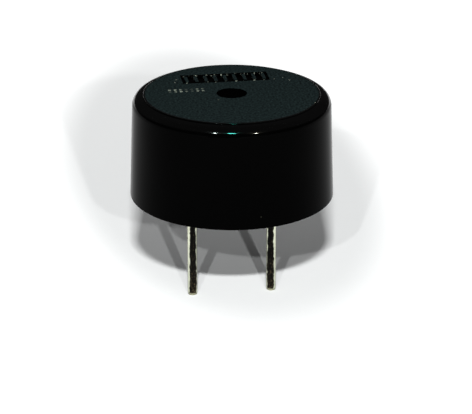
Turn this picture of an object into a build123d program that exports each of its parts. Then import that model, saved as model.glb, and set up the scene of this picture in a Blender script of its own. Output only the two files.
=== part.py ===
"""Pin-type piezo buzzer: a round moulded case on two terminal pins, with its sounder inside.

Millimetres. The origin is the centre of the case's bottom rim, which seats on the circuit
board. +Z points up through the sound hole and +X runs along the line of the two pins.
"""
import os
from math import radians, tan

from build123d import *

os.makedirs("parts", exist_ok=True)

# Case: one moulding, closed on top and open below
case_radius = 6.3          # outside, at the bottom rim
case_height = 6.5          # bottom rim to the face of the raised disc
wall_draft = 1.8           # degrees, each side
shoulder_radius = 0.65     # rounding between the wall and the top
disc_rise = 0.07           # textured disc above the glossy shoulder
disc_land = 0.02           # flat left between the disc and the shoulder
disc_edge_radius = 0.05
rim_edge_radius = 0.05
top_wall = 0.85            # thickness of the top, without the disc
rim_wall = 0.6             # thickness round the pocket that takes the base plate
seat_width = 0.4           # step that the base plate seats against
ledge_width = 0.6          # step that the diaphragm seats against
front_depth = 1.1          # air chamber above the diaphragm
sound_hole_radius = 0.915
sound_hole_edge = 0.05

# Marks moulded in the disc: a sunken panel with plain ribs, and a block of plain pips
panel_length = 5.45
panel_width = 1.6
panel_depth = 0.15
panel_inset = 1.73         # from the edge of the disc
rib_count = 9
rib_width = 0.2
rib_inset = 0.28           # from the panel's edges to the rib ends
pip_radius = 0.09
pip_rise = 0.04
pip_columns = 7
pip_rows = 2
pip_pitch = 0.34
pip_block = (-2.7, 0.78)   # centre of the block

# Base plate, and the epoxy bead that seals it
base_recess = 0.45         # underside above the rim
base_thickness = 1.0
base_clearance = 0.05      # radial, in the pocket
boss_radius = 0.9
boss_height = 0.3
seal_width = 0.5
seal_drop = 0.35

# Terminal pins
pin_pitch = 5.0
pin_radius = 0.3
pin_length = 6.8           # below the rim
pin_tip_radius = 0.15
pin_collar_radius = 0.5    # flange, flush with the underside of the base plate
pin_collar_height = 0.3
post_radius = 0.25         # thinner solder post, from the flange up
post_height = 0.6          # above the boss

# Diaphragm: brass plate, ceramic disc and its silver electrode
plate_clearance = 0.1      # radial, in the cavity
plate_thickness = 0.15
solder_land = 0.95         # bare brass between the ceramic and the adhesive
ceramic_thickness = 0.2
electrode_margin = 0.2     # bare ceramic round the silver
electrode_thickness = 0.02
adhesive_width = 0.45
adhesive_drop = 0.35
bead_hollowness = 1.5      # radius of each bead's hollow face, in lengths of its chord

# Leads and solder
core_radius = 0.08
jacket_radius = 0.16
strip_length = 0.4         # bare wire at each end
lead_height = 0.3          # first run's centre line above the boss
dot_radius = 0.36
dot_height = 0.32
dot_rounding = 0.22
pin_solder_radius = 0.58
pin_solder_taper = 12      # degrees, each side
pin_solder_rounding = 0.25
pin_solder_cap = 0.14      # solder above the pin's inner end
electrode_dot_inset = 2.0   # from the electrode's edge
electrode_dot_angle = 100  # degrees from +X
plate_dot_angle = -55
electrode_lead_elbow = (-0.6, 1.5)  # first bend, from the pin's axis
plate_lead_elbow = (1.1, -1.2)

# Heights that follow
cap_z = case_height - disc_rise
ceiling_z = cap_z - top_wall
ledge_z = ceiling_z - front_depth
plate_z = ledge_z - plate_thickness
ceramic_z = plate_z - ceramic_thickness
electrode_z = ceramic_z - electrode_thickness
base_top_z = base_recess + base_thickness
boss_top_z = base_top_z + boss_height
pin_top_z = boss_top_z + post_height
lead_z = boss_top_z + lead_height

# Radii that follow
cap_radius = case_radius - cap_z * tan(radians(wall_draft))
shoulder_run = shoulder_radius / tan(radians((90 + wall_draft) / 2))
disc_radius = cap_radius - shoulder_run - disc_land
pocket_radius = case_radius - rim_wall
cavity_radius = pocket_radius - seat_width
front_radius = cavity_radius - ledge_width
base_radius = pocket_radius - base_clearance
plate_radius = cavity_radius - plate_clearance
ceramic_radius = plate_radius - adhesive_width - solder_land
electrode_radius = ceramic_radius - electrode_margin

# Places that follow
pin_x = pin_pitch / 2
panel_y = disc_radius - panel_inset - panel_width / 2
electrode_dot = Vector(electrode_radius - electrode_dot_inset, 0).rotate(Axis.Z, electrode_dot_angle)
plate_dot = Vector(ceramic_radius + solder_land / 2, 0).rotate(Axis.Z, plate_dot_angle)


def save(builder, name):
    """Label a finished piece and write it as its own STEP file."""
    builder.part.label = name
    export_step(builder.part, f"parts/{name}.step")


def bead_outline(inner_radius, outer_radius, top_z, under_z, width, drop):
    """Outline of a bead that fills a narrow gap and wets the corner under it."""
    toe = Vector(inner_radius - width, under_z)
    foot = Vector(outer_radius, under_z - drop)
    Polyline(toe, (inner_radius, under_z), (inner_radius, top_z), (outer_radius, top_z), foot)
    RadiusArc(foot, toe, -bead_hollowness * (foot - toe).length)


def bend_radii(points):
    """Radii of the softest bends that the straight runs of a jacket have room for."""
    radii = []
    for before, here, after in zip(points, points[1:], points[2:]):
        arriving = here - before
        leaving = after - here
        shorter = min(arriving.length, leaving.length)
        half_turn = radians(arriving.get_angle(leaving) / 2)
        radii.append(0.45 * shorter / tan(half_turn))
    return radii


def lead_points(x, elbow, spot, joint_z):
    """Route of a lead from the side of a pin's post up to a joint on the diaphragm."""
    axis = Vector(x, 0, lead_z)
    away = Vector(*elbow)
    joint = spot + Vector(0, 0, joint_z)
    below_joint = spot + Vector(0, 0, lead_z + (joint_z - lead_z) / 4)
    return [axis + away.normalized() * post_radius, axis + away, below_joint, joint]


def shortened(points, cut):
    """The same route with its two end runs cut back."""
    first = points[0] + (points[1] - points[0]).normalized() * cut
    last = points[-1] + (points[-2] - points[-1]).normalized() * cut
    return [first, *points[1:-1], last]


# Case
with BuildPart() as case:
    with BuildSketch(Plane.XZ):
        with BuildLine():
            Polyline(
                (0, ceiling_z),
                (front_radius, ceiling_z),
                (front_radius, ledge_z),
                (cavity_radius, ledge_z),
                (cavity_radius, base_top_z),
                (pocket_radius, base_top_z),
                (pocket_radius, 0),
                (case_radius, 0),
                (cap_radius, cap_z),
                (0, cap_z),
                close=True,
            )
        make_face()
    revolve(axis=Axis.Z)
    fillet(case.edges().filter_by(GeomType.CIRCLE).group_by(Axis.Z)[-1], shoulder_radius)
    rim_edges = case.edges().filter_by(GeomType.CIRCLE).group_by(Axis.Z)[0]
    fillet(rim_edges.sort_by(SortBy.RADIUS)[-1], rim_edge_radius)
    with BuildSketch(Plane.XY.offset(cap_z)):
        Circle(disc_radius)
    extrude(amount=disc_rise)
    fillet(case.edges().filter_by(GeomType.CIRCLE).group_by(Axis.Z)[-1], disc_edge_radius)
    with BuildSketch(Plane.XY.offset(case_height)):
        with Locations((0, panel_y)):
            Rectangle(panel_length, panel_width)
            with GridLocations(panel_length / rib_count, 0, rib_count, 1):
                Rectangle(rib_width, panel_width - 2 * rib_inset, mode=Mode.SUBTRACT)
    extrude(amount=-panel_depth, mode=Mode.SUBTRACT)
    with BuildSketch(Plane.XY.offset(case_height)):
        with Locations(pip_block):
            with GridLocations(pip_pitch, pip_pitch, pip_columns, pip_rows):
                Circle(pip_radius)
    extrude(amount=pip_rise)
    with BuildSketch(Plane.XY.offset(case_height)):
        Circle(sound_hole_radius)
    extrude(amount=ceiling_z - case_height, mode=Mode.SUBTRACT)
    top_edges = case.edges().filter_by(GeomType.CIRCLE).filter_by_position(
        Axis.Z, case_height, case_height
    )
    fillet(top_edges.filter_by(lambda edge: edge.radius == sound_hole_radius), sound_hole_edge)
save(case, "case")

# Terminal pins: a straight leg, a flange and a thinner solder post
pins = {}
for side, x in (("left", -pin_x), ("right", pin_x)):
    with BuildPart() as pin:
        with BuildSketch(Plane((x, 0, -pin_length))):
            Circle(pin_radius)
        extrude(amount=pin_length + base_recess)
        fillet(pin.edges().group_by(Axis.Z)[0], pin_tip_radius)
        with BuildSketch(Plane((x, 0, base_recess))):
            Circle(pin_collar_radius)
        extrude(amount=pin_collar_height)
        with BuildSketch(Plane((x, 0, base_recess + pin_collar_height))):
            Circle(post_radius)
        extrude(amount=pin_top_z - base_recess - pin_collar_height)
    save(pin, f"pin_{side}")
    pins[side] = pin.part

# Base plate, moulded round the pins
with BuildPart() as base:
    with BuildSketch(Plane.XY.offset(base_recess)):
        Circle(base_radius)
    extrude(amount=base_thickness)
    with BuildSketch(Plane.XY.offset(base_top_z)):
        with GridLocations(pin_pitch, 0, 2, 1):
            Circle(boss_radius)
    extrude(amount=boss_height)
    for pin_solid in pins.values():
        add(pin_solid, mode=Mode.SUBTRACT)
save(base, "base")

# Epoxy bead between the base plate and the case
with BuildPart() as base_seal:
    with BuildSketch(Plane.XZ):
        with BuildLine():
            bead_outline(base_radius, pocket_radius, base_top_z, base_recess, seal_width, seal_drop)
        make_face()
    revolve(axis=Axis.Z)
save(base_seal, "base_seal")

# Diaphragm plate, against the ledge in the case
with BuildPart() as diaphragm_plate:
    with BuildSketch(Plane.XY.offset(plate_z)):
        Circle(plate_radius)
    extrude(amount=plate_thickness)
save(diaphragm_plate, "diaphragm_plate")

# Ceramic disc under the plate
with BuildPart() as piezo_ceramic:
    with BuildSketch(Plane.XY.offset(ceramic_z)):
        Circle(ceramic_radius)
    extrude(amount=ceramic_thickness)
save(piezo_ceramic, "piezo_ceramic")

# Silver electrode on the free face of the ceramic
with BuildPart() as silver_electrode:
    with BuildSketch(Plane.XY.offset(electrode_z)):
        Circle(electrode_radius)
    extrude(amount=electrode_thickness)
save(silver_electrode, "silver_electrode")

# Silicone ring that holds the plate's edge to the case
with BuildPart() as diaphragm_adhesive:
    with BuildSketch(Plane.XZ):
        with BuildLine():
            bead_outline(plate_radius, cavity_radius, ledge_z, plate_z, adhesive_width, adhesive_drop)
        make_face()
    revolve(axis=Axis.Z)
save(diaphragm_adhesive, "diaphragm_adhesive")

# Leads from the pins to the diaphragm: bare core, jacket, and a solder joint at each end
leads = (
    ("electrode", "left", -pin_x, electrode_lead_elbow, electrode_dot, electrode_z),
    ("plate", "right", pin_x, plate_lead_elbow, plate_dot, plate_z),
)
for target, side, x, elbow, spot, joint_z in leads:
    points = lead_points(x, elbow, spot, joint_z)
    jacket_points = shortened(points, strip_length)
    radii = bend_radii(jacket_points)
    print(target, "lead bend radii", [round(radius, 2) for radius in radii])

    with BuildPart() as core:
        with BuildLine() as core_path:
            FilletPolyline(*points, radius=radii)
        with BuildSketch(Plane(core_path.line @ 0, z_dir=core_path.line % 0)):
            Circle(core_radius)
        sweep()
    save(core, f"{target}_lead_core")

    with BuildPart() as jacket:
        with BuildLine() as jacket_path:
            FilletPolyline(*jacket_points, radius=radii)
        with BuildSketch(Plane(jacket_path.line @ 0, z_dir=jacket_path.line % 0)):
            Circle(jacket_radius)
            Circle(core_radius, mode=Mode.SUBTRACT)
        sweep()
    save(jacket, f"{target}_lead_jacket")

    with BuildPart() as dot:
        with BuildSketch(Plane(points[-1])):
            Circle(dot_radius)
        extrude(amount=-dot_height)
        fillet(dot.edges().group_by(Axis.Z)[0], dot_rounding)
        add(core.part, mode=Mode.SUBTRACT)
    save(dot, f"{target}_solder")

    with BuildPart() as cone:
        with BuildSketch(Plane((x, 0, boss_top_z))):
            Circle(pin_solder_radius)
        extrude(amount=post_height + pin_solder_cap, taper=pin_solder_taper)
        fillet(cone.edges().group_by(Axis.Z)[-1], pin_solder_rounding)
        add(pins[side], mode=Mode.SUBTRACT)
        add(core.part, mode=Mode.SUBTRACT)
    save(cone, f"{side}_pin_solder")
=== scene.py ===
"""Finishes a pin-type piezo buzzer, and sets the stage that it stands on."""

import math

import bmesh
import bpy
from bpy.props import FloatProperty, FloatVectorProperty, PointerProperty
from mathutils import Matrix, Vector, noise


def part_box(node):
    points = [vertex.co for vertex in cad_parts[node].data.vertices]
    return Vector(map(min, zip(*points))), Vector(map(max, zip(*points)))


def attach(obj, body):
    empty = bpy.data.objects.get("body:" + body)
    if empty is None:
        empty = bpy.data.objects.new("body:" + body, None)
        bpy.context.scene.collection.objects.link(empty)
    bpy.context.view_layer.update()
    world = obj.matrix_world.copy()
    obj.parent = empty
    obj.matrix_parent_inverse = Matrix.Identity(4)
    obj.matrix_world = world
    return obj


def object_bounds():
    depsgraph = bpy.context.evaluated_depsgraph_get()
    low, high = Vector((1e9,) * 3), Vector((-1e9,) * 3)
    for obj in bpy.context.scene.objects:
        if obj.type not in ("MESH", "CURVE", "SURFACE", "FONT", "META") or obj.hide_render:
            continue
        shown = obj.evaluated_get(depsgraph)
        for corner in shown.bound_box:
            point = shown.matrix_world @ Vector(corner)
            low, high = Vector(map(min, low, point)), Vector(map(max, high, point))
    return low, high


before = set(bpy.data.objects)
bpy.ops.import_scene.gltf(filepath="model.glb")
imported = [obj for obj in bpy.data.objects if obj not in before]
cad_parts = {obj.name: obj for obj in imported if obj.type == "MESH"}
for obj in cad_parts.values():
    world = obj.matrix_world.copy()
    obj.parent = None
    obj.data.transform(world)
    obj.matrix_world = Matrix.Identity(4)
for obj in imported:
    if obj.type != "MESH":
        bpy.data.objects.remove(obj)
CAD_BOX = [list(corner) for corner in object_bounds()]

bl_info = {
    "name": "Piezo Buzzer",
    "version": (1, 0, 0),
    "blender": (4, 5, 0),
    "location": "View3D > Sidebar > Buzzer",
    "description": "Finishes of a pin-type piezo buzzer, and the stage it stands on",
    "category": "Object",
}

MM = 0.001

# Places and sizes that the frame gives
CASE_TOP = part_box("case")[1].z
FLOOR_Z = CAD_BOX[0][2]
PIN_LOW, PIN_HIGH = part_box("pin_right")
PIN_X = (PIN_LOW.x + PIN_HIGH.x) / 2

# How far the pips stand above the disc
PIP_RISE = 0.04 * MM

# Where the flecks of dust lie on the disc: x and y in millimetres, and each one's share of the
# usual length
FLECKS = (
    (4.73, -2.52, 0.9),
    (-3.05, 2.95, 1.1),
    (-3.2, 2.45, 0.8),
    (3.0, 2.2, 0.9),
    (3.55, 2.35, 0.7),
    (3.9, 1.9, 0.8),
    (-1.0, -1.1, 0.6),
)

# Where the two flakes of flux lie: on the outer side of the left pin, and low on the front of
# the wall, whose radius there is WALL_FLAKE_RADIUS
PIN_FLAKE_Z = -2.96 * MM
WALL_FLAKE_Z = 0.77 * MM
WALL_FLAKE_RADIUS = 6.276 * MM
WALL_FLAKE_SIDE = (0.135, -0.991, 0.0)

# The part of the card that keeps its own shade: an oval, behind the buzzer and a little right
OVAL_PLACE = (2.2 * MM, 21.5 * MM, 0.0)
OVAL_HALF_SIZE = (11.3 * MM, 28.5 * MM, 1.0)


# ---------------------------------------------------------------- small tools


def linear(colour):
    """An sRGB hex colour such as "#a0b0c0" as linear RGBA."""
    shares = [int(colour[place : place + 2], 16) / 255 for place in (1, 3, 5)]
    return [s / 12.92 if s <= 0.04045 else ((s + 0.055) / 1.055) ** 2.4 for s in shares] + [1.0]


def add_node(tree, kind, inputs=None, **settings):
    """Adds a node, gives it its settings, and sets or links its inputs, by name or by number.
    Map Range takes its value in 0, the range it has in 1 and 2, and the range it gets in 3 and
    4 (0 to 1 unless they are set). Mix takes its share in 0, two numbers in 2 and 3, and two
    colours in 6 and 7."""
    node = tree.nodes.new(kind)
    for setting, value in settings.items():
        setattr(node, setting, value)
    for socket, value in (inputs or {}).items():
        if isinstance(value, bpy.types.NodeSocket):
            tree.links.new(value, node.inputs[socket])
        else:
            node.inputs[socket].default_value = value
    return node


def start_material(name, **constants):
    """A new material with the constants of its shader set: the material, its tree and the shader."""
    material = bpy.data.materials.new(name)
    material.use_nodes = True
    tree = material.node_tree
    shader = tree.nodes["Principled BSDF"]
    for socket, value in constants.items():
        shader.inputs[socket.replace("_", " ")].default_value = value
    return material, tree, shader


def dress(material, *names):
    """Gives CAD nodes this material in place of the one they came with."""
    for name in names:
        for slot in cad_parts[name].material_slots:
            slot.material = material


def finish_piece(name, shape, material):
    """Turns a bmesh into a piece that rides on the buzzer's body."""
    mesh = bpy.data.meshes.new(name)
    bmesh.ops.recalc_face_normals(shape, faces=shape.faces)
    shape.to_mesh(mesh)
    shape.free()
    mesh.materials.append(material)
    mesh.shade_smooth()
    piece = bpy.data.objects.new(name, mesh)
    bpy.context.scene.collection.objects.link(piece)
    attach(piece, "root")
    return piece


def toward(azimuth, elevation):
    """The direction from the buzzer to something seen at this azimuth and elevation."""
    level = math.cos(elevation)
    return Vector((math.sin(azimuth) * level, -math.cos(azimuth) * level, math.sin(elevation)))


# ---------------------------------------------------------------- settings


class CaseLook(bpy.types.PropertyGroup):
    disc_radius: FloatProperty(
        name="Disc radius", description="Edge of the spark-eroded disc on top",
        default=5.33 * MM, min=0.0, unit="LENGTH", precision=5,
    )
    disc_depth: FloatProperty(
        name="Disc depth", description="How far below the top the spark-eroded finish reaches",
        default=0.07 * MM, min=0.0, unit="LENGTH", precision=5,
    )
    panel_place: FloatVectorProperty(
        name="Panel place", description="Middle of the band where the panel's edges get painted highlights",
        default=(0.0, 2.918 * MM, 6.43 * MM), size=3, unit="LENGTH", subtype="TRANSLATION",
    )
    panel_size: FloatVectorProperty(
        name="Panel size", description="Length, width and height of that band",
        default=(5.5 * MM, 1.66 * MM, 0.13 * MM), size=3, unit="LENGTH", subtype="XYZ",
    )
    shoulder_drop: FloatProperty(
        name="Shoulder drop", description="How far below the top the bright polish starts",
        default=0.52 * MM, min=0.0, unit="LENGTH", precision=5,
    )
    shoulder_lean: FloatProperty(
        name="Shoulder lean", description="Least upward lean of the polish, so steep steps stay dull",
        default=0.3, min=0.0, max=1.0, subtype="FACTOR",
    )
    rim_width: FloatProperty(
        name="Rim width", description="Width of the broken edge round the disc",
        default=0.12 * MM, min=0.0, unit="LENGTH", precision=5,
    )
    grain: FloatProperty(
        name="Grain", description="Size of one pit of the spark-eroded finish",
        default=0.13 * MM, min=0.0, unit="LENGTH", precision=5,
    )
    wall_colour: FloatVectorProperty(
        name="Wall colour", description="Black of the polished wall and shoulder",
        default=linear("#010101"), size=4, min=0.0, max=1.0, subtype="COLOR",
    )
    # The disc's pits get painted shade and its peaks painted sheen
    shaded_pit_colour: FloatVectorProperty(
        name="Pit colour", description="Painted shade: near-black in the pits of the disc",
        default=linear("#0c1112"), size=4, min=0.0, max=1.0, subtype="COLOR",
    )
    sheen_peak_colour: FloatVectorProperty(
        name="Peak colour", description="Painted sheen: blue-green grey on the peaks of the disc",
        default=linear("#222d2d"), size=4, min=0.0, max=1.0, subtype="COLOR",
    )
    # Colour of the painted highlights on the pips and the panel's edges
    glint_speck_colour: FloatVectorProperty(
        name="Glint colour", description="Painted highlights: pale specks on the pips and the panel's edges, for their glints",
        default=linear("#8d9587"), size=4, min=0.0, max=1.0, subtype="COLOR",
    )


class PinLook(bpy.types.PropertyGroup):
    radius: FloatProperty(
        name="Pin radius", description="Radius of the pins' round legs",
        default=0.3 * MM, min=0.0, unit="LENGTH", precision=5,
    )
    # The band front and back is painted dark reflection, turned towards the camera
    band: FloatProperty(
        name="Painted dark share", description="Share of the pin's width painted dark front and back, as dark reflection",
        default=0.58, min=0.0, max=1.0, subtype="FACTOR",
    )
    turn: FloatProperty(
        name="Band turn", description="Direction that the dark band faces, from straight in front",
        default=math.radians(-8.5), subtype="ANGLE",
    )
    speck: FloatProperty(
        name="Speck", description="Size of the specks of flux in the painted dark band",
        default=0.11 * MM, min=0.0, unit="LENGTH", precision=5,
    )
    tin_colour: FloatVectorProperty(
        name="Tin colour", description="Tin on the flanks, beside the painted dark band",
        default=linear("#d2d5bf"), size=4, min=0.0, max=1.0, subtype="COLOR",
    )
    # Colour of the painted dark reflection on the band
    dark_reflection_colour: FloatVectorProperty(
        name="Dark band colour", description="Painted dark reflection, front and back",
        default=linear("#070605"), size=4, min=0.0, max=1.0, subtype="COLOR",
    )
    flux_colour: FloatVectorProperty(
        name="Flux colour", description="Brown specks near the tips",
        default=linear("#3a3325"), size=4, min=0.0, max=1.0, subtype="COLOR",
    )
    # Colour of the dulled drawing lines, and of the painted shade along the pins' outer edges
    dull_and_edge_shade_colour: FloatVectorProperty(
        name="Dull and edge shade colour", description="Dulled tin along the drawing lines, and painted shade at the flanks' outer edges",
        default=linear("#7f7d63"), size=4, min=0.0, max=1.0, subtype="COLOR",
    )
    tip_colour: FloatVectorProperty(
        name="Tip colour", description="Cut metal at the rounded tips",
        default=linear("#8f8f78"), size=4, min=0.0, max=1.0, subtype="COLOR",
    )
    shift: FloatProperty(
        name="Band shift", description="How far the dark bands lie towards each other, in pin radii",
        default=0.12, min=0.0, max=1.0, subtype="FACTOR",
    )


class BaseLook(bpy.types.PropertyGroup):
    base_colour: FloatVectorProperty(
        name="Base colour", description="Black of the base plate",
        default=linear("#131314"), size=4, min=0.0, max=1.0, subtype="COLOR",
    )
    epoxy_colour: FloatVectorProperty(
        name="Epoxy colour", description="Near-black of the cast seal round the base plate",
        default=linear("#17130f"), size=4, min=0.0, max=1.0, subtype="COLOR",
    )


class SounderLook(bpy.types.PropertyGroup):
    brass_colour: FloatVectorProperty(
        name="Brass colour", description="Rolled brass of the diaphragm",
        default=linear("#c9a75e"), size=4, min=0.0, max=1.0, subtype="COLOR",
    )
    ceramic_colour: FloatVectorProperty(
        name="Ceramic colour", description="Sintered piezo ceramic",
        default=linear("#a3957a"), size=4, min=0.0, max=1.0, subtype="COLOR",
    )
    silver_colour: FloatVectorProperty(
        name="Silver colour", description="Fired silver of the electrode",
        default=linear("#dcdad2"), size=4, min=0.0, max=1.0, subtype="COLOR",
    )
    silicone_colour: FloatVectorProperty(
        name="Silicone colour", description="Adhesive ring that holds the diaphragm",
        default=linear("#d8d9d3"), size=4, min=0.0, max=1.0, subtype="COLOR",
    )


class LeadLook(bpy.types.PropertyGroup):
    electrode_jacket: FloatVectorProperty(
        name="Electrode lead", description="Jacket of the lead to the silver electrode",
        default=linear("#a61d1b"), size=4, min=0.0, max=1.0, subtype="COLOR",
    )
    plate_jacket: FloatVectorProperty(
        name="Plate lead", description="Jacket of the lead to the brass plate",
        default=linear("#17181a"), size=4, min=0.0, max=1.0, subtype="COLOR",
    )
    wire_colour: FloatVectorProperty(
        name="Wire colour", description="Tinned copper of the lead cores",
        default=linear("#cbc8c0"), size=4, min=0.0, max=1.0, subtype="COLOR",
    )
    solder_colour: FloatVectorProperty(
        name="Solder colour", description="Solder at the leads' ends",
        default=linear("#bfc1c4"), size=4, min=0.0, max=1.0, subtype="COLOR",
    )


class DustLook(bpy.types.PropertyGroup):
    fleck: FloatProperty(
        name="Fleck", description="Length of one fleck of dust",
        default=0.085 * MM, min=0.0, unit="LENGTH", precision=5,
    )
    dust_colour: FloatVectorProperty(
        name="Dust colour", description="Pale lint and moulding dust",
        default=linear("#a3a595"), size=4, min=0.0, max=1.0, subtype="COLOR",
    )
    flux_colour: FloatVectorProperty(
        name="Flux colour", description="Dark amber flakes of flux on the left pin and low on the wall",
        default=linear("#2b2410"), size=4, min=0.0, max=1.0, subtype="COLOR",
    )


class StageLook(bpy.types.PropertyGroup):
    floor_colour: FloatVectorProperty(
        name="Floor colour", description="Pale card that the buzzer stands on",
        default=linear("#f1f3f3"), size=4, min=0.0, max=1.0, subtype="COLOR",
    )
    azimuth: FloatProperty(
        name="Azimuth", description="Camera's turn round the buzzer, from straight in front",
        default=math.radians(-8.5), subtype="ANGLE",
    )
    elevation: FloatProperty(
        name="Elevation", description="Camera's height above the level of the board seat, as an angle",
        default=math.radians(21.7), subtype="ANGLE",
    )
    distance: FloatProperty(
        name="Distance", description="From the camera to the middle of the board seat",
        default=151.8 * MM, min=0.0, unit="LENGTH", precision=4,
    )
    lens: FloatProperty(
        name="Lens", description="Focal length on a 36 mm sensor",
        default=186.2, min=1.0, unit="CAMERA",
    )
    room_light: FloatProperty(
        name="Room light", description="Strength of the even light from all round",
        default=0.035, min=0.0,
    )
    room_gloss: FloatProperty(
        name="Room in reflections", description="Strength of the pale room as gloss shows it",
        default=0.045, min=0.0,
    )


# ---------------------------------------------------------------- finishes


def moulded_pbt(look):
    """Black PBT as moulded. The wall comes off a smooth mould and stays a deep black until it
    is seen edge on. The shoulder and the rim of the disc are polished, and mirror the lamps
    as small sharp glints. The disc comes off a spark-eroded mould: its fine pits scatter the
    light, and that light is painted into its colour, as a matte blue-green grey with a mottled
    grain, a painted sheen on the peaks of the relief and painted shade in its pits. Real pits
    are about 0.05 mm across, and these are drawn coarser, so that they show."""
    material, tree, shader = start_material(
        "black_pbt_moulded", IOR=1.5, Specular_IOR_Level=0.007, Coat_IOR=1.5, Coat_Roughness=0.08,
    )
    coordinates = add_node(tree, "ShaderNodeTexCoord").outputs
    place = coordinates["Object"]
    level = add_node(
        tree, "ShaderNodeVectorMath", {0: place, 1: (1.0, 1.0, 0.0)}, operation="MULTIPLY",
    ).outputs["Vector"]
    radius = add_node(tree, "ShaderNodeVectorMath", {0: level}, operation="LENGTH").outputs["Value"]
    height = add_node(tree, "ShaderNodeSeparateXYZ", {0: place}).outputs["Z"]
    within = add_node(
        tree, "ShaderNodeMapRange",
        {0: radius, 1: look.disc_radius + 0.03 * MM, 2: look.disc_radius - 0.03 * MM},
    ).outputs[0]
    above = add_node(
        tree, "ShaderNodeMapRange",
        {0: height, 1: CASE_TOP - look.disc_depth, 2: CASE_TOP - look.disc_depth + 0.02 * MM},
    ).outputs[0]
    on_disc = add_node(tree, "ShaderNodeMath", {0: within, 1: above}, operation="MULTIPLY").outputs[0]

    pits = add_node(
        tree, "ShaderNodeTexNoise",
        {"Vector": place, "Scale": 1 / look.grain, "Detail": 2.0, "Roughness": 0.6},
    ).outputs["Fac"]
    # Painted sheen and shade: the disc is painted grey where its relief is high and near-black where it
    # is low
    mottle_and_pit_shade = add_node(tree, "ShaderNodeMapRange", {0: pits, 1: 0.36, 2: 0.64}).outputs[0]
    disc_colour = add_node(
        tree, "ShaderNodeMix", {0: mottle_and_pit_shade, 6: look.shaded_pit_colour, 7: look.sheen_peak_colour}, data_type="RGBA",
    ).outputs[2]
    colour = add_node(
        tree, "ShaderNodeMix", {0: on_disc, 6: look.wall_colour, 7: disc_colour}, data_type="RGBA",
    ).outputs[2]

    # The pips stand above the disc, and the panel's edges lie just below it: both get painted highlights,
    # pale specks that stand for their glints
    on_pips = add_node(
        tree, "ShaderNodeMapRange", {0: height, 1: CASE_TOP - 0.016 * MM, 2: CASE_TOP - 0.006 * MM},
    ).outputs[0]
    # Seen from its own middle, and in shares of its size, the panel's band ends at 0.5 each way
    panel = add_node(
        tree, "ShaderNodeMapping",
        {"Vector": place, "Location": look.panel_place, "Scale": look.panel_size}, vector_type="TEXTURE",
    ).outputs[0]
    panel = add_node(tree, "ShaderNodeVectorMath", {0: panel}, operation="ABSOLUTE").outputs[0]
    panel = add_node(tree, "ShaderNodeSeparateXYZ", {0: panel}).outputs
    outside = add_node(
        tree, "ShaderNodeMath", {0: panel["X"], 1: panel["Y"]}, operation="MAXIMUM",
    ).outputs[0]
    outside = add_node(
        tree, "ShaderNodeMath", {0: outside, 1: panel["Z"]}, operation="MAXIMUM",
    ).outputs[0]
    by_panel = add_node(
        tree, "ShaderNodeMath", {0: outside, 1: 0.5}, operation="LESS_THAN",
    ).outputs[0]
    glint_noise = add_node(
        tree, "ShaderNodeTexNoise", {"Vector": place, "Scale": 1 / (0.13 * MM), "Detail": 1.0},
    ).outputs["Fac"]
    glint_specks = add_node(tree, "ShaderNodeMapRange", {0: glint_noise, 1: 0.58, 2: 0.7, 4: 0.8}).outputs[0]
    painted_glints = add_node(tree, "ShaderNodeMath", {0: by_panel, 1: glint_specks}, operation="MULTIPLY").outputs[0]
    # Painted highlights on the pips, dimmer in some patches
    pip_glint_strength = add_node(
        tree, "ShaderNodeTexNoise", {"Vector": place, "Scale": 1 / (0.7 * MM), "Detail": 0.0},
    ).outputs["Fac"]
    pip_glint_strength = add_node(tree, "ShaderNodeMapRange", {0: pip_glint_strength, 1: 0.35, 2: 0.6, 3: 0.1, 4: 0.8}).outputs[0]
    pip_glints = add_node(tree, "ShaderNodeMath", {0: on_pips, 1: pip_glint_strength}, operation="MULTIPLY").outputs[0]
    painted_glints = add_node(tree, "ShaderNodeMath", {0: painted_glints, 1: pip_glints}, operation="MAXIMUM").outputs[0]
    colour = add_node(
        tree, "ShaderNodeMix", {0: painted_glints, 6: colour, 7: look.glint_speck_colour}, data_type="RGBA",
    ).outputs[2]
    tree.links.new(colour, shader.inputs["Base Color"])

    # The rim of the disc is broken by a chamfer, rim_width wide and 61 degrees steep
    steepness = 1.8
    chamfer = add_node(
        tree, "ShaderNodeMapRange",
        {0: radius, 1: look.disc_radius + look.rim_width, 2: look.disc_radius},
    ).outputs[0]
    chamfer = add_node(tree, "ShaderNodeMath", {0: chamfer, 1: above}, operation="MULTIPLY").outputs[0]
    rim = add_node(
        tree, "ShaderNodeBump",
        {"Height": chamfer, "Strength": 1.0, "Distance": steepness * look.rim_width},
    ).outputs["Normal"]

    shoulder = add_node(
        tree, "ShaderNodeMapRange",
        {0: height, 1: CASE_TOP - look.shoulder_drop, 2: CASE_TOP - look.shoulder_drop + 0.1 * MM},
    ).outputs[0]
    lean = add_node(tree, "ShaderNodeSeparateXYZ", {0: coordinates["Normal"]}).outputs["Z"]
    leaning = add_node(
        tree, "ShaderNodeMapRange", {0: lean, 1: look.shoulder_lean, 2: look.shoulder_lean + 0.15},
    ).outputs[0]
    shoulder = add_node(
        tree, "ShaderNodeMath", {0: shoulder, 1: leaning}, operation="MULTIPLY",
    ).outputs[0]
    polished = add_node(
        tree, "ShaderNodeMath", {0: shoulder, 1: within}, operation="SUBTRACT", use_clamp=True,
    ).outputs[0]
    # Seen edge on, the handled polish mirrors less than a perfect one would
    edge_on = add_node(tree, "ShaderNodeLayerWeight", {"Blend": 0.5, "Normal": rim}).outputs["Facing"]
    faced = add_node(tree, "ShaderNodeMapRange", {0: edge_on, 1: 0.6, 2: 0.35, 3: 0.4}).outputs[0]
    polished = add_node(
        tree, "ShaderNodeMath", {0: polished, 1: faced}, operation="MULTIPLY",
    ).outputs[0]
    tree.links.new(polished, shader.inputs["Coat Weight"])

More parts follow.
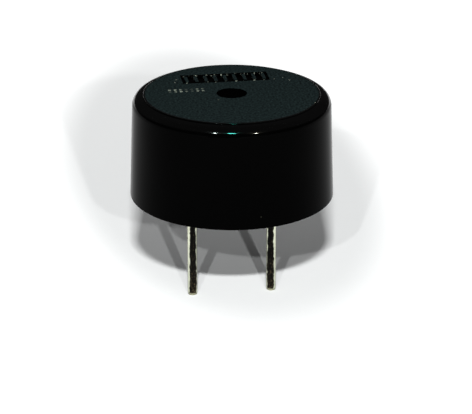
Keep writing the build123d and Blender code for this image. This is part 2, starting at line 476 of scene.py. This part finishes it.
    # Handling leaves the polish a little duller in patches a few millimetres across
    smudges = add_node(
        tree, "ShaderNodeTexNoise", {"Vector": place, "Scale": 1 / (2.6 * MM), "Detail": 4.0},
    ).outputs["Fac"]
    wall_roughness = add_node(
        tree, "ShaderNodeMapRange", {0: smudges, 1: 0.3, 2: 0.7, 3: 0.09, 4: 0.17},
    ).outputs[0]
    roughness = add_node(tree, "ShaderNodeMix", {0: on_disc, 2: wall_roughness, 3: 0.62}).outputs[0]
    tree.links.new(roughness, shader.inputs["Roughness"])

    relief = add_node(tree, "ShaderNodeMath", {0: pits, 1: on_disc}, operation="MULTIPLY").outputs[0]
    bump = add_node(
        tree, "ShaderNodeBump",
        {"Height": relief, "Strength": 0.55, "Distance": 0.02 * MM, "Normal": rim},
    )
    tree.links.new(bump.outputs["Normal"], shader.inputs["Normal"])
    return material


def tin_with_painted_dark_band(look, name, centre_x, shift):
    """Tinned brass, drawn and hot dipped. Tin on the flanks is bright and slightly green. Front
    and back, turned towards the camera, a brown-black band with ragged edges is painted on as
    painted dark reflection, and specks of flux and bare tin in it thicken towards the tip. The
    drawing lines are 0.01 to 0.02 mm apart on a real pin, and are drawn coarser, so that they show."""
    material, tree, shader = start_material(name, Specular_IOR_Level=0.04)
    place = add_node(tree, "ShaderNodeTexCoord").outputs["Object"]
    from_axis = add_node(
        tree, "ShaderNodeVectorMath", {0: place, 1: (centre_x, 0.0, 0.0)}, operation="SUBTRACT",
    ).outputs["Vector"]
    sideways = (math.cos(look.turn) / look.radius, math.sin(look.turn) / look.radius, 0.0)
    across = add_node(
        tree, "ShaderNodeVectorMath", {0: from_axis, 1: sideways}, operation="DOT_PRODUCT",
    ).outputs["Value"]
    height = add_node(tree, "ShaderNodeSeparateXYZ", {0: place}).outputs["Z"]
    rag = add_node(
        tree, "ShaderNodeTexNoise", {"Vector": place, "Scale": 1 / (0.4 * MM), "Detail": 4.0},
    ).outputs["Fac"]
    ragged = add_node(tree, "ShaderNodeMapRange", {0: rag, 3: -0.35, 4: 0.35}).outputs[0]
    moved = add_node(tree, "ShaderNodeMath", {0: across, 1: shift}, operation="SUBTRACT").outputs[0]
    side = add_node(tree, "ShaderNodeMath", {0: moved}, operation="ABSOLUTE").outputs[0]
    side = add_node(tree, "ShaderNodeMath", {0: side, 1: ragged}, operation="ADD").outputs[0]
    widening = add_node(
        tree, "ShaderNodeMapRange", {0: height, 1: -0.5 * MM, 2: FLOOR_Z, 3: 0.05, 4: -0.2},
    ).outputs[0]
    side = add_node(tree, "ShaderNodeMath", {0: side, 1: widening}, operation="ADD").outputs[0]
    # Painted dark reflection: across the band that faces the camera, the tin is painted brown-black and
    # made non-metal, widening towards the tip
    dark = add_node(
        tree, "ShaderNodeMapRange", {0: side, 1: look.band + 0.07, 2: look.band - 0.07},
    ).outputs[0]

    specks = add_node(
        tree, "ShaderNodeTexNoise",
        {"Vector": place, "Scale": 1 / look.speck, "Detail": 3.0, "Roughness": 0.65},
    ).outputs["Fac"]
    low = add_node(
        tree, "ShaderNodeMapRange",
        {0: height, 1: FLOOR_Z + 3.0 * MM, 2: FLOOR_Z + 0.6 * MM, 3: 0.0, 4: 0.09},
    ).outputs[0]
    specks = add_node(tree, "ShaderNodeMath", {0: specks, 1: low}, operation="ADD").outputs[0]
    speckled = add_node(tree, "ShaderNodeMapRange", {0: specks, 1: 0.6, 2: 0.72}).outputs[0]
    # The painted dark reflection, flecked with flux
    dark_band_and_flux = add_node(
        tree, "ShaderNodeMix", {0: speckled, 6: look.dark_reflection_colour, 7: look.flux_colour}, data_type="RGBA",
    ).outputs[2]
    drawn = add_node(
        tree, "ShaderNodeMapping", {"Vector": place, "Scale": (1.0, 1.0, 0.12)},
    ).outputs[0]
    streaks = add_node(
        tree, "ShaderNodeTexNoise", {"Vector": drawn, "Scale": 1 / (0.09 * MM), "Detail": 3.0},
    ).outputs["Fac"]
    streaks = add_node(tree, "ShaderNodeMapRange", {0: streaks, 1: 0.5, 2: 0.75, 4: 0.6}).outputs[0]
    # Painted shade: the pin's edges, as the camera sees them, are darkened into a thin line, which shares
    # one mask with the dulled drawing lines
    edge_shade = add_node(tree, "ShaderNodeMath", {0: across}, operation="ABSOLUTE").outputs[0]
    edge_shade = add_node(tree, "ShaderNodeMapRange", {0: edge_shade, 1: 0.86, 2: 0.97, 4: 0.85}).outputs[0]
    dull = add_node(tree, "ShaderNodeMath", {0: streaks, 1: edge_shade}, operation="MAXIMUM").outputs[0]
    tin = add_node(
        tree, "ShaderNodeMix", {0: dull, 6: look.tin_colour, 7: look.dull_and_edge_shade_colour}, data_type="RGBA",
    ).outputs[2]
    colour = add_node(tree, "ShaderNodeMix", {0: dark, 6: tin, 7: dark_band_and_flux}, data_type="RGBA").outputs[2]

    tip = add_node(
        tree, "ShaderNodeMapRange", {0: height, 1: FLOOR_Z + 0.2 * MM, 2: FLOOR_Z + 0.12 * MM},
    ).outputs[0]
    colour = add_node(
        tree, "ShaderNodeMix", {0: tip, 6: colour, 7: look.tip_colour}, data_type="RGBA",
    ).outputs[2]
    tree.links.new(colour, shader.inputs["Base Color"])
    bare = add_node(tree, "ShaderNodeMath", {0: 1.0, 1: dark}, operation="SUBTRACT").outputs[0]
    tree.links.new(bare, shader.inputs["Metallic"])
    roughness = add_node(tree, "ShaderNodeMapRange", {0: dark, 3: 0.3, 4: 0.5}).outputs[0]
    tree.links.new(roughness, shader.inputs["Roughness"])
    bump = add_node(
        tree, "ShaderNodeBump", {"Height": specks, "Strength": 0.35, "Distance": 0.02 * MM},
    )
    tree.links.new(bump.outputs["Normal"], shader.inputs["Normal"])
    return material


def grained(name, colour, spread, grain, roughness, depth, stretch=(1.0, 1.0, 1.0), **constants):
    """A material whose colour, roughness and relief follow one grain, stretched along an axis
    where the real surface was rolled. On parts this small the real grain is finer than a
    picture shows, so each is drawn just coarse enough to show."""
    material, tree, shader = start_material(name, **constants)
    place = add_node(tree, "ShaderNodeTexCoord").outputs["Object"]
    laid = add_node(tree, "ShaderNodeMapping", {"Vector": place, "Scale": stretch}).outputs[0]
    grains = add_node(
        tree, "ShaderNodeTexNoise", {"Vector": laid, "Scale": 1 / grain, "Detail": 3.0},
    ).outputs["Fac"]
    share = add_node(tree, "ShaderNodeMapRange", {0: grains, 1: 0.3, 2: 0.7}).outputs[0]
    dark = [channel * (1 - spread) for channel in colour[:3]] + [1.0]
    tone = add_node(
        tree, "ShaderNodeMix", {0: share, 6: dark, 7: colour}, data_type="RGBA",
    ).outputs[2]
    tree.links.new(tone, shader.inputs["Base Color"])
    gloss = add_node(
        tree, "ShaderNodeMapRange", {0: share, 3: roughness * 1.2, 4: roughness * 0.85},
    ).outputs[0]
    tree.links.new(gloss, shader.inputs["Roughness"])
    bump = add_node(tree, "ShaderNodeBump", {"Height": share, "Strength": 0.5, "Distance": depth})
    tree.links.new(bump.outputs["Normal"], shader.inputs["Normal"])
    return material


# ---------------------------------------------------------------- operators


class BUZZER_OT_case(bpy.types.Operator):
    """Finish the case: a polished wall and shoulder, and a spark-eroded disc on top"""
    bl_idname = "buzzer.case"
    bl_label = "Case"

    def execute(self, context):
        dress(moulded_pbt(context.scene.buzzer_case), "case")
        return {"FINISHED"}


class BUZZER_OT_pins(bpy.types.Operator):
    """Finish the two pins: tin, with painted dark reflection front and back"""
    bl_idname = "buzzer.pins"
    bl_label = "Pins"

    def execute(self, context):
        look = context.scene.buzzer_pins
        dress(tin_with_painted_dark_band(look, "tinned_brass_left", -PIN_X, look.shift), "pin_left")
        dress(tin_with_painted_dark_band(look, "tinned_brass_right", PIN_X, -look.shift), "pin_right")
        return {"FINISHED"}


class BUZZER_OT_base(bpy.types.Operator):
    """Finish the base plate and the seal round it"""
    bl_idname = "buzzer.base"
    bl_label = "Base and seal"

    def execute(self, context):
        look = context.scene.buzzer_base
        # Moulded PBT off a plain-milled mould: an even satin black
        plate = grained(
            "black_pbt_satin", list(look.base_colour), 0.35, 0.14 * MM, 0.5, 0.006 * MM,
            IOR=1.5, Specular_IOR_Level=0.25,
        )
        # Two-part epoxy, poured and cured: glossy, with a faint brown depth and slow ripples
        epoxy = grained(
            "black_epoxy_poured", list(look.epoxy_colour), 0.3, 1.1 * MM, 0.14, 0.02 * MM,
            IOR=1.5, Specular_IOR_Level=0.4,
        )
        dress(plate, "base")
        dress(epoxy, "base_seal")
        return {"FINISHED"}


class BUZZER_OT_sounder(bpy.types.Operator):
    """Finish the sounder inside: brass plate, ceramic, silver electrode and adhesive"""
    bl_idname = "buzzer.sounder"
    bl_label = "Sounder"

    def execute(self, context):
        look = context.scene.buzzer_sounder
        # Cold-rolled brass: fine lines along the rolling direction, X
        brass = grained(
            "brass_rolled", list(look.brass_colour), 0.18, 0.12 * MM, 0.3, 0.003 * MM,
            stretch=(0.06, 1.0, 1.0), Metallic=1.0,
        )
        # Sintered lead zirconate titanate: a dull, tan, granular ceramic
        ceramic = grained(
            "piezo_ceramic_sintered", list(look.ceramic_colour), 0.16, 0.1 * MM, 0.75, 0.006 * MM,
            IOR=1.55,
        )
        # Silver paste, screen printed and fired: white metal, too rough to mirror
        silver = grained(
            "silver_fired", list(look.silver_colour), 0.12, 0.09 * MM, 0.48, 0.005 * MM,
            Metallic=1.0,
        )
        # Silicone rubber, dispensed as a bead: milky, soft edged and slightly shiny
        silicone = grained(
            "silicone_bead", list(look.silicone_colour), 0.08, 0.5 * MM, 0.36, 0.01 * MM,
            IOR=1.41, Subsurface_Weight=0.25, Subsurface_Scale=0.2 * MM,
        )
        dress(brass, "diaphragm_plate")
        dress(ceramic, "piezo_ceramic")
        dress(silver, "silver_electrode")
        dress(silicone, "diaphragm_adhesive")
        return {"FINISHED"}


class BUZZER_OT_leads(bpy.types.Operator):
    """Finish the two leads inside and their solder"""
    bl_idname = "buzzer.leads"
    bl_label = "Leads and solder"

    def execute(self, context):
        look = context.scene.buzzer_leads
        # Tinned copper, drawn: pale grey metal with soft reflections
        wire = grained(
            "tinned_copper_drawn", list(look.wire_colour), 0.12, 0.06 * MM, 0.28, 0.002 * MM,
            Metallic=1.0,
        )
        # PVC, extruded over the wire: satin, with a faint waviness
        red_pvc = grained(
            "red_pvc_extruded", list(look.electrode_jacket), 0.2, 0.2 * MM, 0.38, 0.006 * MM,
            IOR=1.53,
        )
        black_pvc = grained(
            "black_pvc_extruded", list(look.plate_jacket), 0.3, 0.2 * MM, 0.38, 0.006 * MM,
            IOR=1.53,
        )
        # Tin solder, frozen from a drop: bright, with a frosted skin
        solder = grained(
            "tin_solder_reflowed", list(look.solder_colour), 0.2, 0.13 * MM, 0.24, 0.008 * MM,
            Metallic=1.0,
        )
        dress(wire, "electrode_lead_core", "plate_lead_core")
        dress(red_pvc, "electrode_lead_jacket")
        dress(black_pvc, "plate_lead_jacket")
        dress(solder, "electrode_solder", "plate_solder", "left_pin_solder", "right_pin_solder")
        return {"FINISHED"}


class BUZZER_OT_dust(bpy.types.Operator):
    """Lay flecks of dust on the disc, and flakes of flux on the left pin and the wall"""
    bl_idname = "buzzer.dust"
    bl_label = "Dust"

    def execute(self, context):
        look = context.scene.buzzer_dust
        # Lint and moulding dust: dry, pale and ragged
        dust = grained(
            "dust_dry", list(look.dust_colour), 0.4, 0.03 * MM, 0.9, 0.004 * MM,
            Specular_IOR_Level=0.2,
        )
        # Flux, burnt on: dark brown and slightly glassy
        flux = grained(
            "flux_burnt", list(look.flux_colour), 0.4, 0.05 * MM, 0.4, 0.004 * MM,
            IOR=1.5,
        )
        up = Vector((0.0, 0.0, 1.0))
        flecks = bmesh.new()
        for x, y, size in FLECKS:
            place = Vector((x * MM, y * MM, CASE_TOP - PIP_RISE))
            self.add_fleck(flecks, place, up, size * look.fleck)
        finish_piece("dust", flecks, dust)

        left = Vector((-1.0, 0.0, 0.0))
        on_pin = left * (PIN_X + context.scene.buzzer_pins.radius) + up * PIN_FLAKE_Z
        side = Vector(WALL_FLAKE_SIDE)
        on_wall = side * WALL_FLAKE_RADIUS + up * WALL_FLAKE_Z
        flakes = bmesh.new()
        self.add_fleck(flakes, on_pin, left, 2.0 * look.fleck)
        self.add_fleck(flakes, on_wall, side, 0.9 * look.fleck)
        finish_piece("flux_flakes", flakes, flux)
        return {"FINISHED"}

    def add_fleck(self, shape, place, normal, size):
        """A flat ragged chip of this length, half sunk in the surface it lies on."""
        lie = normal.to_track_quat("Z", "Y").to_matrix().to_4x4()
        flat = Matrix.Diagonal((1.0, 0.6, 0.35, 1.0))
        made = bmesh.ops.create_icosphere(
            shape, subdivisions=2, radius=size / 2, matrix=Matrix.Translation(place) @ lie @ flat,
        )["verts"]
        # The noise has about three swells along the chip, each up to an eighth of its length
        for vertex in made:
            vertex.co += noise.noise_vector(vertex.co * 3 / size) * size * 0.12
        bmesh.ops.smooth_vert(
            shape, verts=made, factor=0.3, use_axis_x=True, use_axis_y=True, use_axis_z=True,
        )


class BUZZER_OT_stage(bpy.types.Operator):
    """Set the floor, lamps, room light and camera"""
    bl_idname = "buzzer.stage"
    bl_label = "Stage"

    def execute(self, context):
        scene = context.scene
        look = scene.buzzer_stage
        self.add_floor(scene, look)
        self.add_lamps(scene, look)
        self.add_camera(scene, look)
        scene.view_settings.view_transform = "Standard"
        return {"FINISHED"}

    def add_floor(self, scene, look):
        """A large sheet of pale card, whose far parts look pure white to the eye, in mirrors
        and through glass, while the part round the buzzer keeps its shadows."""
        material, tree, shader = start_material(
            "pale_card_matte", Specular_IOR_Level=0.0, Roughness=0.9,
        )
        place = add_node(tree, "ShaderNodeTexCoord").outputs["Object"]
        fibres = add_node(
            tree, "ShaderNodeTexNoise", {"Vector": place, "Scale": 1 / (0.8 * MM), "Detail": 3.0},
        ).outputs["Fac"]
        shade = [channel * 0.985 for channel in look.floor_colour[:3]] + [1.0]
        card = add_node(
            tree, "ShaderNodeMix", {0: fibres, 6: shade, 7: look.floor_colour}, data_type="RGBA",
        ).outputs[2]
        tree.links.new(card, shader.inputs["Base Color"])

        # The buzzer's shadows fall mostly behind it, so the card's plain part is an oval there.
        # Light is added to the card and takes none of its shadows away.
        oval = add_node(
            tree, "ShaderNodeMapping",
            {"Vector": place, "Location": OVAL_PLACE, "Scale": OVAL_HALF_SIZE}, vector_type="TEXTURE",
        ).outputs[0]
        away = add_node(tree, "ShaderNodeVectorMath", {0: oval}, operation="LENGTH").outputs["Value"]
        rim = add_node(
            tree, "ShaderNodeMapRange", {0: away, 1: 0.8, 2: 1.15, 4: 0.35},
            interpolation_type="SMOOTHSTEP",
        ).outputs[0]
        far = add_node(tree, "ShaderNodeMapRange", {0: away, 1: 1.1, 2: 3.0, 4: 0.65}).outputs[0]
        turned = add_node(
            tree, "ShaderNodeMapping", {"Vector": place, "Rotation": (0.0, 0.0, look.azimuth)},
            vector_type="TEXTURE",
        ).outputs[0]
        behind = add_node(tree, "ShaderNodeSeparateXYZ", {0: turned}).outputs["Y"]
        behind = add_node(
            tree, "ShaderNodeMapRange", {0: behind, 1: 2 * MM, 2: 44 * MM, 4: 0.22},
        ).outputs[0]
        lift = add_node(tree, "ShaderNodeMath", {0: rim, 1: far}, operation="ADD").outputs[0]
        lift = add_node(
            tree, "ShaderNodeMath", {0: lift, 1: behind}, operation="ADD", use_clamp=True,
        ).outputs[0]
        path = add_node(tree, "ShaderNodeLightPath").outputs
        seen = add_node(
            tree, "ShaderNodeMath", {0: path["Is Camera Ray"], 1: path["Is Glossy Ray"]},
            operation="MAXIMUM",
        ).outputs[0]
        seen = add_node(
            tree, "ShaderNodeMath", {0: seen, 1: path["Is Transmission Ray"]}, operation="MAXIMUM",
        ).outputs[0]
        share = add_node(tree, "ShaderNodeMath", {0: seen, 1: lift}, operation="MULTIPLY").outputs[0]
        glow = add_node(tree, "ShaderNodeEmission", {"Strength": share})
        both = add_node(tree, "ShaderNodeAddShader", {0: shader.outputs[0], 1: glow.outputs[0]})
        # From below, the card is left out, so that it doesn't hide the underside
        beneath = add_node(tree, "ShaderNodeNewGeometry").outputs["Backfacing"]
        clear = add_node(tree, "ShaderNodeBsdfTransparent")
        shown = add_node(
            tree, "ShaderNodeMixShader", {0: beneath, 1: both.outputs[0], 2: clear.outputs[0]},
        )
        tree.links.new(shown.outputs[0], tree.nodes["Material Output"].inputs["Surface"])

        sheet = bmesh.new()
        bmesh.ops.create_grid(sheet, x_segments=8, y_segments=8, size=0.9)
        bmesh.ops.translate(sheet, verts=sheet.verts, vec=(0.0, 0.0, FLOOR_Z))
        mesh = bpy.data.meshes.new("floor")
        sheet.to_mesh(mesh)
        sheet.free()
        mesh.materials.append(material)
        floor = bpy.data.objects.new("floor", mesh)
        scene.collection.objects.link(floor)

    def add_lamps(self, scene, look):
        """A wide key lamp above the camera, two small fills low on either side, and three small
        lamps that only gloss shows, as glints on the polished shoulder."""
        # Each lamp's turn from the camera and its elevation, in degrees, its distance, width and
        # height, its watts, its colour, and whether only gloss shows it
        lamps = {
            "key": (0.0, 37.0, 320 * MM, 22 * MM, 9 * MM, 1.22, "#ffffff", False),
            "fill_right": (10.5, 21.0, 300 * MM, 5 * MM, 5 * MM, 0.28, "#ffffff", False),
            "fill_left": (-10.5, 29.0, 300 * MM, 5 * MM, 5 * MM, 0.21, "#ffffff", False),
            "glint_middle": (0.0, 37.0, 140 * MM, 18 * MM, 8 * MM, 0.042, "#5cf2df", True),
            "glint_left": (-20.0, 35.0, 140 * MM, 3 * MM, 6 * MM, 0.045, "#e8fffa", True),
            "glint_right": (28.0, 28.0, 140 * MM, 3 * MM, 6 * MM, 0.08, "#fffbe8", True),
        }
        for name, (turn, elevation, distance, width, height, watts, colour, gloss) in lamps.items():
            lamp = bpy.data.lights.new(name, "AREA")
            lamp.shape = "RECTANGLE"
            lamp.size = width
            lamp.size_y = height
            lamp.energy = watts
            lamp.color = linear(colour)[:3]
            holder = bpy.data.objects.new(name, lamp)
            direction = toward(look.azimuth + math.radians(turn), math.radians(elevation))
            holder.location = direction * distance
            holder.rotation_euler = direction.to_track_quat("Z", "Y").to_euler()
            holder.visible_camera = False
            holder.visible_diffuse = not gloss
            holder.visible_glossy = gloss
            scene.collection.objects.link(holder)
        world = bpy.data.worlds.new("room")
        world.use_nodes = True
        tree = world.node_tree
        path = add_node(tree, "ShaderNodeLightPath").outputs
        seen = add_node(
            tree, "ShaderNodeMath", {0: path["Is Camera Ray"], 1: path["Is Transmission Ray"]},
            operation="MAXIMUM",
        ).outputs[0]
        mirrored = add_node(
            tree, "ShaderNodeMath", {0: path["Is Glossy Ray"], 1: look.room_gloss},
            operation="MULTIPLY",
        ).outputs[0]
        strength = add_node(
            tree, "ShaderNodeMath", {0: seen, 1: mirrored}, operation="MAXIMUM",
        ).outputs[0]
        strength = add_node(
            tree, "ShaderNodeMath", {0: strength, 1: look.room_light}, operation="MAXIMUM",
        ).outputs[0]
        room = tree.nodes["Background"]
        room.inputs["Color"].default_value = linear("#ffffff")
        tree.links.new(strength, room.inputs["Strength"])
        scene.world = world

    def add_camera(self, scene, look):
        camera = bpy.data.cameras.new("camera")
        camera.lens = look.lens
        camera.shift_x = 0.0089
        camera.shift_y = -0.0325
        camera.clip_start = 5 * MM
        camera.clip_end = 5.0
        holder = bpy.data.objects.new("camera", camera)
        direction = toward(look.azimuth, look.elevation)
        holder.location = direction * look.distance
        holder.rotation_euler = direction.to_track_quat("Z", "Y").to_euler()
        scene.collection.objects.link(holder)
        scene.camera = holder


class BUZZER_PT_parts(bpy.types.Panel):
    """The buzzer's parts and their settings"""
    bl_idname = "BUZZER_PT_parts"
    bl_label = "Piezo Buzzer"
    bl_space_type = "VIEW_3D"
    bl_region_type = "UI"
    bl_category = "Buzzer"

    def draw(self, context):
        for part, (operator, settings) in PARTS.items():
            box = self.layout.box()
            box.operator(operator.bl_idname)
            look = getattr(context.scene, part)
            for setting in settings.__annotations__:
                box.prop(look, setting)


PARTS = {
    "buzzer_case": (BUZZER_OT_case, CaseLook),
    "buzzer_pins": (BUZZER_OT_pins, PinLook),
    "buzzer_base": (BUZZER_OT_base, BaseLook),
    "buzzer_sounder": (BUZZER_OT_sounder, SounderLook),
    "buzzer_leads": (BUZZER_OT_leads, LeadLook),
    "buzzer_dust": (BUZZER_OT_dust, DustLook),
    "buzzer_stage": (BUZZER_OT_stage, StageLook),
}


def register():
    for part, (operator, settings) in PARTS.items():
        bpy.utils.register_class(settings)
        bpy.utils.register_class(operator)
        setattr(bpy.types.Scene, part, PointerProperty(type=settings))
    bpy.utils.register_class(BUZZER_PT_parts)


def unregister():
    bpy.utils.unregister_class(BUZZER_PT_parts)
    for part, (operator, settings) in reversed(PARTS.items()):
        delattr(bpy.types.Scene, part)
        bpy.utils.unregister_class(operator)
        bpy.utils.unregister_class(settings)


def main():
    register()
    bpy.ops.buzzer.case()
    bpy.ops.buzzer.pins()
    bpy.ops.buzzer.base()
    bpy.ops.buzzer.sounder()
    bpy.ops.buzzer.leads()
    bpy.ops.buzzer.dust()
    bpy.ops.buzzer.stage()


if __name__ == "__main__":
    main()
